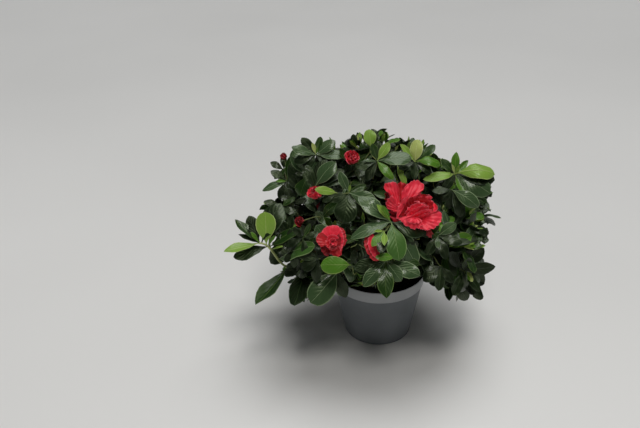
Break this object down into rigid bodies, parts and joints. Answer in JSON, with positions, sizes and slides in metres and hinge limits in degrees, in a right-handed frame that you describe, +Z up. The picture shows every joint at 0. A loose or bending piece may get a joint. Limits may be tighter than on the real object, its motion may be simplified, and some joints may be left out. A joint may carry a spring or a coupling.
{
  "type": "potted azalea shrub",
  "caption": "Florist's azalea in flower: a low, dense, leafy crown with double red blooms on a short branching stem, standing in a tapered grower's pot filled with peat.",
  "frame": {"origin": "centre of the pot's flat underside, on the surface the pot stands on", "axes": "+Z up; -Y towards the side that shows the most blooms; -X towards the long flat spray on the left"},
  "size_m": [0.3282, 0.2737, 0.2753],
  "materials": {
    "pot_plastic": "matte",
    "potting_mix": "matte",
    "bark": "matte",
    "foliage": "satin",
    "young_foliage": "satin",
    "blossom": "satin"
  },
  "bodies": {
    "root": {"pot": "pot_plastic", "peat": "potting_mix", "stem": "bark", "bough_front": "bark", "bough_front_right": "bark", "bough_right": "bark", "bough_back_right": "bark", "bough_back": "bark", "bough_back_left": "bark", "bough_left": "bark", "bough_upper_right": "bark", "bough_upper_back": "bark", "bough_upper_left": "bark", "bough_top": "bark", "bough_low_front": "bark", "bough_low_right": "bark", "bough_low_back_right": "bark", "bough_low_back_left": "bark", "bough_low_left": "bark", "bough_left_spray": "bark", "foliage_front": "foliage", "foliage_front_right": "foliage", "foliage_right": "foliage", "foliage_back_right": "foliage", "foliage_back": "foliage", "foliage_back_left": "foliage", "foliage_left": "foliage", "foliage_upper_right": "foliage", "foliage_upper_back": "foliage", "foliage_upper_left": "foliage", "foliage_top": "foliage", "foliage_low_front": "foliage", "foliage_low_right": "foliage", "foliage_low_back_right": "foliage", "foliage_low_back_left": "foliage", "foliage_low_left": "foliage", "foliage_left_spray": "foliage"}
  },
  "joints": []
}
